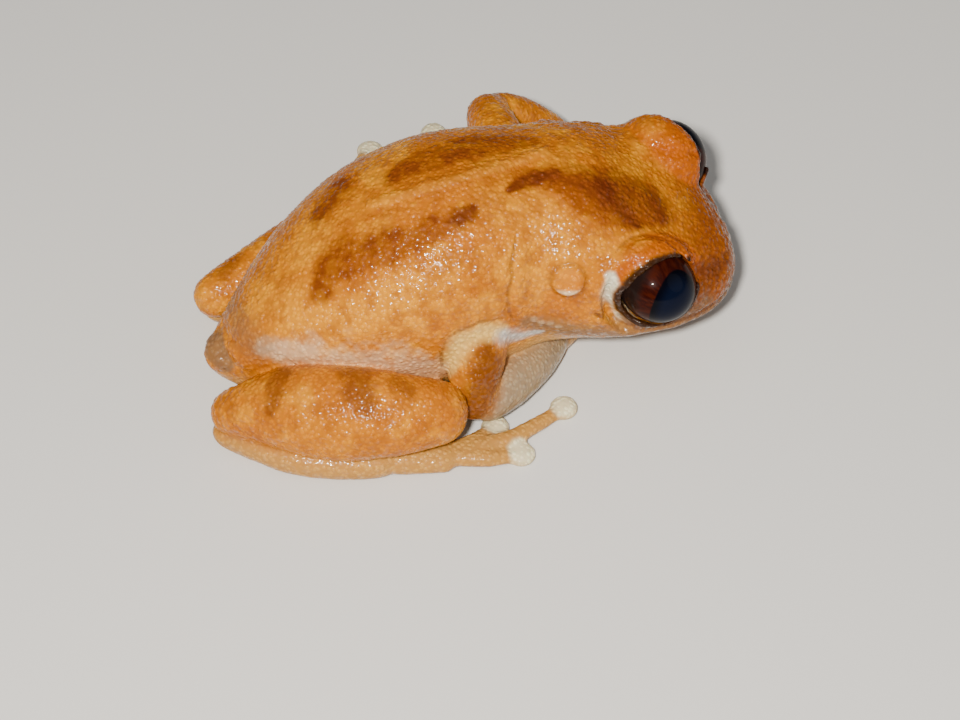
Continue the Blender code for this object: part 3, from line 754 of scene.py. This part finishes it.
# A dark loreal mark along the canthus and below it, deepened with painted shade of the snout.
SNOUT_MARK_AND_SHADE_PATHS = [
    ([(695, 268), (707, 269), (719, 265), (727, 262)], [0.9, 1.2, 1.0, 0.5], 0.8, 0.95, 1),
    ([(698, 268), (703, 280), (703, 292), (696, 306)], [1.1, 1.6, 1.6, 1.2], 0.6, 0.9, 0.7),
]
CROWN_MARKS = [([(560, 182), (590, 196), (620, 208), (648, 210)], [1.2, 2.2, 2.4, 1.8], 0.4, 0.3, 0.85)]
# Lip tan along the jaw, darkened with painted shade below the eye.
JAW_TONE_AND_SHADE_PATHS = [([(528, 322), (560, 330), (590, 334), (620, 334), (650, 330), (680, 319), (704, 302)],
              [0.9, 1.3, 1.4, 1.4, 1.4, 1.3, 1.0], 0.6, 0.9, 0.9)]
LEG_BARS = [
    ([(281, 374), (275, 392), (270, 412)], [0.9, 1.0, 0.6], 0.6, 0.5, 1),
    ([(352, 374), (358, 392), (366, 408)], [1.3, 1.4, 1.0], 0.6, 0.6, 1),
    ([(396, 382), (408, 390)], [0.9, 0.8], 0.6, 0.6, 0.8),
    ([(232, 262), (222, 275)], [0.8, 0.6], 0.6, 0.5, 0.7),
]
EYE_CORNER = [([(611, 276), (613, 288), (616, 300), (622, 311), (632, 319)],
               [0.5, 0.9, 1.1, 1.0, 0.5], 0.4, 0.6, 1)]
AXILLA_MARKS = [([(503, 336), (514, 336), (526, 335), (540, 332)], [0.8, 0.8, 0.6, 0.3], 0.5, 0.9, 1)]
LILAC_MARKS = [([(268, 348), (300, 355), (340, 360), (380, 364), (415, 369), (436, 374)],
                [0.9, 1.5, 1.8, 1.9, 1.9, 1.4], 1.0, 0.9, 1)]
# Painted light where the key falls on the shoulder and the low flank.
PAINTED_LIGHT_PATHS = [
    ([(500, 205), (535, 215), (560, 240), (545, 262), (520, 262)], 2.6, 0.5, 0.8, 0.8),
    ([(262, 300), (300, 322), (350, 322), (400, 300), (440, 280)], 2.4, 0.6, 0.8, 0.9),
]
ARM_DARK = [([(486, 352), (488, 370), (483, 392), (472, 412)], [1.1, 1.9, 2.1, 1.5], 0.4, 0.7, 1)]
# Pale skin along the top of the arm, with a painted highlight.
ARM_PALE_AND_HIGHLIGHT = [([(500, 330), (480, 333), (462, 342), (453, 356), (450, 368)],
             [0.8, 0.9, 1.1, 1.1, 0.8], 0.4, 0.8, 1)]
RUMP_MARKS = [([(232, 300), (240, 328), (260, 345)], [1.2, 1.8, 1.4], 0.5, 0.9, 0.55)]
VENT_MARKS = [([(214, 342), (216, 354), (226, 366)], [1.2, 1.2, 0.8], 0.4, 0.3, 0.9)]
# Yellow skin on the back's ridge, with a painted highlight.
CREST_TONE_AND_HIGHLIGHT = [(FOLDS[RIDGE_FOLD][0], [0.4, 0.5, 0.5, 0.5, 0.5, 0.4], 0.2, 0.3, 1)]
# Widths and strength of the painted shade in the folds' creases
FOLD_WIDE, FOLD_END_WIDE, FOLD_SHADE = 0.17, 0.06, 0.7
FLANK_LINE = ([-22, -10, -2, 4, 8, 12, 20], [4.6, 5.6, 6.4, 7.2, 7.8, 7.2, 6.4])
# Where the discs lie in the solids' own layout, how far that layout was shifted, and their height
DISC_TIPS = [(10.6, 6.2), (14.0, 7.0), (17.6, 5.8), (17.8, 3.0),
             (14.2, 16.6), (17.6, 17.2), (20.8, 20.0), (20.0, 22.9),
             (-3.4, -10.6), (0.2, -10.2), (4.6, -10.4), (10.7, -8.2), (6.9, -13.4),
             (-4.8, 14.6), (-2.4, 17.4), (0.2, 20.8), (-1.2, 26.0), (-7.3, 23.6)]
LAYOUT_SHIFT = np.array((1.7413, 5.0297))
DISC_MIDDLE = 0.6

edge_noise = (cloud(skin_points, 1.6, 41) - 0.5) * 1.6 + (cloud(skin_points, 0.6, 47) - 0.5) * 1.4
mottle = smooth_step(cloud(skin_points, 1.1, 61), 0.38, 0.66)
patches = smooth_step(cloud(skin_points, 4.5, 83), 0.35, 0.65)
bands = painted(BAND_MARKS) * (0.7 + 0.3 * mottle)
deep_marks = painted(DEEP_MARKS)
# Dark loreal mark with painted shade, on both sides of the snout.
snout_mark_and_shade = painted(SNOUT_MARK_AND_SHADE_PATHS, both_sides=True)
bars = painted(LEG_BARS)

in_head = skin_points - np.array(head_middle)
head_along = in_head @ np.array(head_ahead)
head_high = in_head @ np.array(head_up)
# Painted shade: the head darkens towards the snout, over the brown crown mark.
snout_shade = smooth_step(head_along + 0.8 * edge_noise, -0.5, 4.0)
crown_mark_and_snout_shade = strongest(painted(CROWN_MARKS), on_core * snout_shade * 0.95)
# Painted shade under the head: the lip tan darkens over the throat.
throat_depth = -head_high - 0.22 * np.abs(np.clip(-head_along, 0, 9)) + 0.4 * edge_noise
throat_tone_and_shade = on_core * smooth_step(head_along, -9.5, -6.5) * smooth_step(throat_depth, 3.2, 4.6)
jaw_tone_and_shade = strongest(throat_tone_and_shade, painted(JAW_TONE_AND_SHADE_PATHS, both_sides=True))

orange_lids = np.zeros(len(skin_points))
dark_rim = np.zeros(len(skin_points))
for side_word, side in SIDES:
    margin, far = lid_margin(*skin_points.T, side_word, side)
    from_eye = skin_points - np.array(eye_middle[side_word])
    forward = from_eye @ np.array(head_ahead)
    over_eye = smooth_step(from_eye @ np.array(head_up), -1.2, 0.6)
    close = 1 - smooth_step(far - 0.12 * np.clip(-forward, 0, 5), EYE_RADIUS + 0.9, EYE_RADIUS + 1.5)
    orange_lids = np.maximum(orange_lids, close * over_eye * smooth_step(margin, 0.3, 0.8))
    from_edge = margin - 0.5 * smooth_step(forward, 2.0, 3.2)
    dark_rim = np.maximum(dark_rim, close * (1 - smooth_step(from_edge, 0.4, 0.75)))
behind_eye = painted(EYE_CORNER, both_sides=True) * (1 - dark_rim)

ear_mask = around(ear_tops, EAR_RADIUS - 0.25, EAR_RADIUS + 0.15)
# Painted highlight on the lower side of each ear rim.
ear_rim_highlight = np.zeros(len(skin_points))
# Painted shade in the moat round each ear.
ear_moat_shade = np.zeros(len(skin_points))
for top in ear_tops:
    from_ear = skin_points - np.array(top)
    apart = np.linalg.norm(from_ear, axis=1)
    lowness = -(from_ear @ np.array(head_up)) / EAR_RADIUS
    on_rim = 1 - smooth_step(np.abs(apart - EAR_RADIUS), 0.1, 0.3)
    ear_rim_highlight = np.maximum(ear_rim_highlight, on_rim * smooth_step(lowness, 0.3, 0.75))
    ear_moat_shade = np.maximum(ear_moat_shade, 1 - smooth_step(np.abs(apart - EAR_RADIUS - 0.42), 0.08, 0.3))
# Painted shade in the nostrils.
nostril_shade = around(nostrils, 0.15, 0.45)
tubercle_tops = painted([([pixel], 0.3, 0.1, 0.9, 0.4) for pixel in TUBERCLES])
# Painted shade along the mouth line and in the shaded folds' creases.
crease_shade = strongest(*(marked(row, MOUTH_WIDE) for row in mouth_points))
for index in SHADED_FOLDS:
    path = on_skin(FOLDS[index][0])
    widths = [FOLD_END_WIDE] + [FOLD_WIDE] * (len(path) - 2) + [FOLD_END_WIDE]
    crease_shade = strongest(crease_shade, FOLD_SHADE * marked(path, widths))

height = skin_points[:, 2]
flank_line = np.interp(skin_points[:, 0], *FLANK_LINE)
lilac = on_core * (1 - smooth_step(height + 0.6 * edge_noise, flank_line - 1.2, flank_line + 1.3))
belly = on_core * (1 - smooth_step(height, flank_line - 3.8, flank_line - 1.6))
lilac_line = painted(LILAC_MARKS) * on_core
# Painted light on the shoulder and low flank, and bright random patches.
painted_light_and_patches = strongest(painted(PAINTED_LIGHT_PATHS), smooth_step(cloud(skin_points, 2.6, 97), 0.5, 0.68) * 0.75)
limb_under = (1 - on_core) * (1 - smooth_step(skin_normals[:, 2] + 0.1 * edge_noise, -0.95, -0.45))
# The left arm, which the forearm's painted shade leaves out.
to_left_arm = smooth_step(skin_points[:, 1], 2.0, 6.0) * smooth_step(height, 2.0, 5.0)
disc_places = [(*(tip - LAYOUT_SHIFT), DISC_MIDDLE) for tip in DISC_TIPS]

SKIN_MASKS = {
    "marks": (bands, deep_marks, snout_mark_and_shade),
    "lids": (orange_lids, dark_rim, behind_eye),
    "arm_tones_and_light": (painted_light_and_patches, painted(ARM_DARK), painted(ARM_PALE_AND_HIGHLIGHT)),
    "pale": (lilac_line, painted(AXILLA_MARKS), strongest(ear_rim_highlight, tubercle_tops)),
    "fades": (lilac, strongest(belly, limb_under * 0.9), share_of("tarsus", "foot", "hand")),
    # The right forearm is greyed with painted shade; the left one is not.
    "ends": (around(disc_places, 1.0, 1.65, 0.15) * on_feet, share_of("forearm") * (1 - to_left_arm),
             strongest(painted(VENT_MARKS), painted(RUMP_MARKS))),
    "spots": (bars, ear_mask, strongest(crease_shade, nostril_shade, ear_moat_shade * 0.45)),
    "grain": (grain, mottle, patches),
    "head": (crown_mark_and_snout_shade, jaw_tone_and_shade, painted(CREST_TONE_AND_HIGHLIGHT)),
}
for mask_name, triple in SKIN_MASKS.items():
    layer = skin_mesh.color_attributes.new(mask_name, "FLOAT_COLOR", "POINT")
    values = np.ones((len(skin_points), 4), np.float32)
    for k in range(3):
        values[:, k] = np.clip(triple[k], 0, 1)
    layer.data.foreach_set("color", values.ravel())

# The skin's material
# Moist skin: the markings, painted shade and painted highlights are laid over an ochre ground, with
# dark pores between fine grains. A wet coat lies on the tops of the mesh's own grains, so the key
# light breaks into sparks there.


def plug(socket, value):
    """Gives a socket a number or a colour, or links another socket to it."""
    if isinstance(value, tuple):
        socket.default_value = (*value, 1.0)
    elif isinstance(value, (int, float)):
        socket.default_value = value
    else:
        socket.id_data.links.new(value, socket)


def math_node(tree, operation, *values):
    """The result of a math node on sockets or numbers."""
    node = tree.nodes.new("ShaderNodeMath")
    node.operation = operation
    for socket, value in zip(node.inputs, values):
        plug(socket, value)
    return node.outputs[0]


def ranged(tree, value, start, end, low=0.0, high=1.0, kind="SMOOTHSTEP"):
    """Low at start, high at end, and in between them in between."""
    node = tree.nodes.new("ShaderNodeMapRange")
    node.interpolation_type = kind
    plug(node.inputs["Value"], value)
    plug(node.inputs["From Min"], start)
    plug(node.inputs["From Max"], end)
    plug(node.inputs["To Min"], low)
    plug(node.inputs["To Max"], high)
    return node.outputs["Result"]


def laid_over(tree, under, mask, colour, blend="MIX"):
    """One colour laid over what is under it where a mask is high."""
    node = tree.nodes.new("ShaderNodeMix")
    node.data_type = "RGBA"
    node.blend_type = blend
    plug(node.inputs["Factor"], mask)
    plug(node.inputs["A"], under)
    plug(node.inputs["B"], colour)
    return node.outputs["Result"]


def read_masks(tree, name):
    """The three masks in a colour attribute of the mesh."""
    reader = tree.nodes.new("ShaderNodeAttribute")
    reader.attribute_name = name
    split = tree.nodes.new("ShaderNodeSeparateColor")
    plug(split.inputs["Color"], reader.outputs["Color"])
    return split.outputs


def skin_grain_group():
    """Node group: the fine round grains of frog skin as a height, and the pores between them."""
    group = bpy.data.node_groups.new("frog skin grain", "ShaderNodeTree")
    group.interface.new_socket("Size", in_out="INPUT", socket_type="NodeSocketFloat")
    group.interface.new_socket("Height", in_out="OUTPUT", socket_type="NodeSocketFloat")
    group.interface.new_socket("Pores", in_out="OUTPUT", socket_type="NodeSocketFloat")
    start = group.nodes.new("NodeGroupInput")
    end = group.nodes.new("NodeGroupOutput")
    place = group.nodes.new("ShaderNodeTexCoord")
    cells = group.nodes.new("ShaderNodeTexVoronoi")
    cells.feature = "F1"
    fibre = group.nodes.new("ShaderNodeTexNoise")
    fibre.inputs["Detail"].default_value = 5
    fibre.inputs["Roughness"].default_value = 0.6
    for texture in (cells, fibre):
        plug(texture.inputs["Vector"], place.outputs["Object"])
        plug(texture.inputs["Scale"], start.outputs["Size"])
    domes = ranged(group, cells.outputs["Distance"], 0.52, 0.0, kind="LINEAR")
    round_tops = math_node(group, "SINE", math_node(group, "MULTIPLY", domes, math.pi / 2))
    plug(end.inputs["Height"], math_node(group, "MULTIPLY_ADD", fibre.outputs["Fac"], 0.25, round_tops))
    plug(end.inputs["Pores"], ranged(group, cells.outputs["Distance"], 0.30, 0.62))
    return group


GRAINS_PER_METRE = 2400
PORE_STRENGTH = 0.35
PORE_TINT = (0.45, 0.32, 0.25)
SKIN_GROUND = (0.550, 0.164, 0.002)
SKIN_LAYERS = [             # mask, channel, strength and colour, from the lowest up
    ("grain", 2, 0.70, (0.660, 0.232, 0.002)),
    # painted light on the shoulder and low flank, and bright random patches
    ("arm_tones_and_light", 0, 0.80, (0.800, 0.330, 0.006)),
    ("grain", 1, 0.55, (0.380, 0.100, 0.006)),
    ("fades", 0, 0.85, (0.780, 0.430, 0.120)),
    ("fades", 1, 0.90, (0.800, 0.620, 0.380)),
    # brown crown mark, and painted shade on the snout
    ("head", 0, 0.90, (0.245, 0.054, 0.003)),
    # lip tan, darkened with painted shade on the throat and under the eye
    ("head", 1, 0.88, (0.230, 0.125, 0.055)),
    ("marks", 0, 0.88, (0.185, 0.038, 0.005)),
    ("marks", 1, 0.88, (0.100, 0.015, 0.005)),
    ("spots", 0, 0.75, (0.220, 0.058, 0.008)),
    # yellow ridge with a painted highlight
    ("head", 2, 0.25, (0.750, 0.340, 0.020)),
    ("arm_tones_and_light", 1, 0.92, (0.190, 0.050, 0.005)),
    # pale skin on the arm's top, with a painted highlight
    ("arm_tones_and_light", 2, 0.80, (0.850, 0.560, 0.150)),
    ("pale", 0, 0.75, (0.760, 0.520, 0.310)),
    ("fades", 2, 0.85, (0.560, 0.300, 0.075)),
    # painted shade greying the right forearm
    ("ends", 1, 0.85, (0.330, 0.280, 0.180)),
    ("ends", 2, 0.80, (0.160, 0.115, 0.070)),
    ("pale", 1, 0.80, (0.560, 0.590, 0.580)),
    ("ends", 0, 0.92, (0.880, 0.840, 0.560)),
    ("spots", 1, 0.75, (0.760, 0.270, 0.010)),
    # painted highlight on the ear rims, and pale tubercle tops
    ("pale", 2, 0.80, (0.900, 0.700, 0.420)),
    ("lids", 0, 0.92, (0.460, 0.098, 0.001)),
    ("lids", 2, 0.85, (0.860, 0.860, 0.640)),
    # the snout's dark mark and its painted shade
    ("marks", 2, 0.65, (0.075, 0.016, 0.006)),
    # painted shade in creases, mouth line, nostrils and the moat round each ear
    ("spots", 2, 0.65, (0.100, 0.030, 0.008)),
    ("lids", 1, 0.95, (0.012, 0.005, 0.004)),
]
SKIN_SHADER = {
    "IOR": 1.2,
    "Specular IOR Level": 0.5,
    "Coat Roughness": 0.11,
    "Coat IOR": 1.4,
    "Subsurface Weight": 0.1,
    "Subsurface Radius": (1.0, 0.45, 0.2),
    "Subsurface Scale": 0.0008,
}
moist = bpy.data.materials.new("moist skin")
moist.use_nodes = True
tree = moist.node_tree
shader = tree.nodes["Principled BSDF"]
masks = {mask_name: read_masks(tree, mask_name) for mask_name in SKIN_MASKS}
grain_texture = tree.nodes.new("ShaderNodeGroup")
grain_texture.node_tree = skin_grain_group()
grain_texture.inputs["Size"].default_value = GRAINS_PER_METRE
colour = SKIN_GROUND
for mask_name, channel, strength, layer_colour in SKIN_LAYERS:
    mask = math_node(tree, "MULTIPLY", masks[mask_name][channel], strength)
    colour = laid_over(tree, colour, mask, layer_colour)
pores = math_node(tree, "MULTIPLY", grain_texture.outputs["Pores"], PORE_STRENGTH)
plug(shader.inputs["Base Color"], laid_over(tree, colour, pores, PORE_TINT, "MULTIPLY"))
bump = tree.nodes.new("ShaderNodeBump")
bump.inputs["Strength"].default_value = 1.0
bump.inputs["Distance"].default_value = 0.00006
plug(bump.inputs["Height"], grain_texture.outputs["Height"])
plug(shader.inputs["Normal"], bump.outputs["Normal"])
grain_tops = masks["grain"][0]
plug(shader.inputs["Roughness"], ranged(tree, grain_tops, 0.0, 1.0, 0.27, 0.22, "LINEAR"))
plug(shader.inputs["Coat Weight"], ranged(tree, grain_tops, 0.35, 0.75, 0.12, 1.0))
for input_name, value in SKIN_SHADER.items():
    shader.inputs[input_name].default_value = value
skin_mesh.materials.append(moist)

# The eyes
# Two wet balls with a clear bulging cornea, a dark red-brown iris and a very wide, upright oval
# pupil, black with a painted navy reflection in its middle. They sit in the lids and turn a little
# forward.
PUPIL_LOOK = (0.60, 0.78, 0.16)
PUPIL_HALF_WIDE = math.radians(40)
PUPIL_HALF_HIGH = math.radians(60)
PUPIL_LEAN = math.radians(24)
EYE_RINGS = 72
EYE_SECTORS = 96
CORNEA_RISE = 0.05
ANGLE_SPAN = 8.0            # radians that a colour channel of the angle map spans
IRIS_DARK, IRIS_LIT, IRIS_RIM = (0.020, 0.0025, 0.0015), (0.040, 0.006, 0.002), (0.012, 0.006, 0.005)
# The pupil is black, with a painted navy reflection in its middle.
PUPIL_REFLECTION, PUPIL_EDGE = (0.002, 0.004, 0.014), (0.001, 0.001, 0.003)
EYE_SHADER = {
    "Roughness": 0.3,
    "Specular IOR Level": 0.02,
    "Coat Weight": 0.25,
    "Coat Roughness": 0.02,
    "Coat IOR": 1.3,
}


def eyeball(side_word, side):
    """One eyeball with its pole on the pupil, in metres, and its map of angles."""
    look = (head_ahead * PUPIL_LOOK[0] + head_left * side * PUPIL_LOOK[1]
            + head_up * PUPIL_LOOK[2]).normalized()
    front = (head_ahead - look * head_ahead.dot(look)).normalized()
    above = (head_up - look * head_up.dot(look)).normalized()
    points = [look]
    angles = [(0.0, 0.0)]
    for ring in range(1, EYE_RINGS):
        polar = math.pi * ring / EYE_RINGS
        for sector in range(EYE_SECTORS):
            turn = 2 * math.pi * sector / EYE_SECTORS
            across = front * math.cos(turn) + above * math.sin(turn)
            points.append(look * math.cos(polar) + across * math.sin(polar))
            angles.append((polar * math.cos(turn), polar * math.sin(turn)))
    points.append(-look)
    angles.append((math.pi, 0.0))
    faces = []
    last = 1 + (EYE_RINGS - 2) * EYE_SECTORS
    for sector in range(EYE_SECTORS):
        after = (sector + 1) % EYE_SECTORS
        faces.append((0, 1 + sector, 1 + after))
        faces.append((len(points) - 1, last + after, last + sector))
        for ring in range(EYE_RINGS - 2):
            a = 1 + ring * EYE_SECTORS
            b = a + EYE_SECTORS
            faces.append((a + sector, b + sector, b + after, a + after))
    shaped = []
    for point, (u, v) in zip(points, angles):
        rise = CORNEA_RISE * max(0.0, math.cos(min(math.hypot(u, v), math.pi / 2)))
        shaped.append((eye_middle[side_word] + point * (EYE_RADIUS + rise)) * 0.001)
    mesh = bpy.data.meshes.new("eyeball_" + side_word)
    mesh.from_pydata([tuple(p) for p in shaped], [], faces)
    mesh.shade_smooth()
    if side > 0:
        mesh.flip_normals()
    layer = mesh.color_attributes.new("angles", "FLOAT_COLOR", "POINT")
    for k, (u, v) in enumerate(angles):
        layer.data[k].color = (0.5 + u / ANGLE_SPAN, 0.5 + v / ANGLE_SPAN, 0.0, 1.0)
    return mesh


wet_eye = bpy.data.materials.new("wet eye")
wet_eye.use_nodes = True
tree = wet_eye.node_tree
shader = tree.nodes["Principled BSDF"]
angle_map = read_masks(tree, "angles")


def angle_part(channel):
    """Radians from the middle of the pupil, ahead for channel 0 and up for channel 1."""
    return math_node(tree, "MULTIPLY", math_node(tree, "SUBTRACT", angle_map[channel], 0.5), ANGLE_SPAN)


def leaning(operation, first_share, second_share):
    """The two angle parts combined, along or across the leaning pupil."""
    first = math_node(tree, "MULTIPLY", angle_part(0), first_share)
    second = math_node(tree, "MULTIPLY", angle_part(1), second_share)
    return math_node(tree, operation, first, second)


def squared(value, half):
    """The square of a value as a share of half the pupil's size."""
    return math_node(tree, "POWER", math_node(tree, "DIVIDE", value, half), 2.0)


across = leaning("SUBTRACT", math.cos(PUPIL_LEAN), math.sin(PUPIL_LEAN))
upward = leaning("ADD", math.sin(PUPIL_LEAN), math.cos(PUPIL_LEAN))
oval = math_node(tree, "SQRT", math_node(tree, "ADD", squared(across, PUPIL_HALF_WIDE),
                                         squared(upward, PUPIL_HALF_HIGH)))
spoke_place = tree.nodes.new("ShaderNodeCombineXYZ")
plug(spoke_place.inputs["X"], math_node(tree, "ARCTAN2", upward, across))
plug(spoke_place.inputs["Y"], math_node(tree, "MULTIPLY", oval, 0.35))
spokes = tree.nodes.new("ShaderNodeTexNoise")
spokes.noise_dimensions = "2D"
spokes.inputs["Scale"].default_value = 7.0
spokes.inputs["Detail"].default_value = 4.0
plug(spokes.inputs["Vector"], spoke_place.outputs["Vector"])
iris = laid_over(tree, IRIS_DARK, ranged(tree, spokes.outputs["Fac"], 0.35, 0.7), IRIS_LIT)
iris = laid_over(tree, iris, ranged(tree, oval, 1.35, 1.75), IRIS_RIM)
pupil = laid_over(tree, PUPIL_REFLECTION, ranged(tree, oval, 0.55, 0.98), PUPIL_EDGE)
plug(shader.inputs["Base Color"], laid_over(tree, pupil, ranged(tree, oval, 0.97, 1.03), iris))
for input_name, value in EYE_SHADER.items():
    shader.inputs[input_name].default_value = value
for side_word, side in SIDES:
    eye_mesh = eyeball(side_word, side)
    eye_mesh.materials.append(wet_eye)
    eye = bpy.data.objects.new("eyeball_" + side_word, eye_mesh)
    scene.collection.objects.link(eye)
    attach(eye, "root")
    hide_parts("eye_" + side_word)
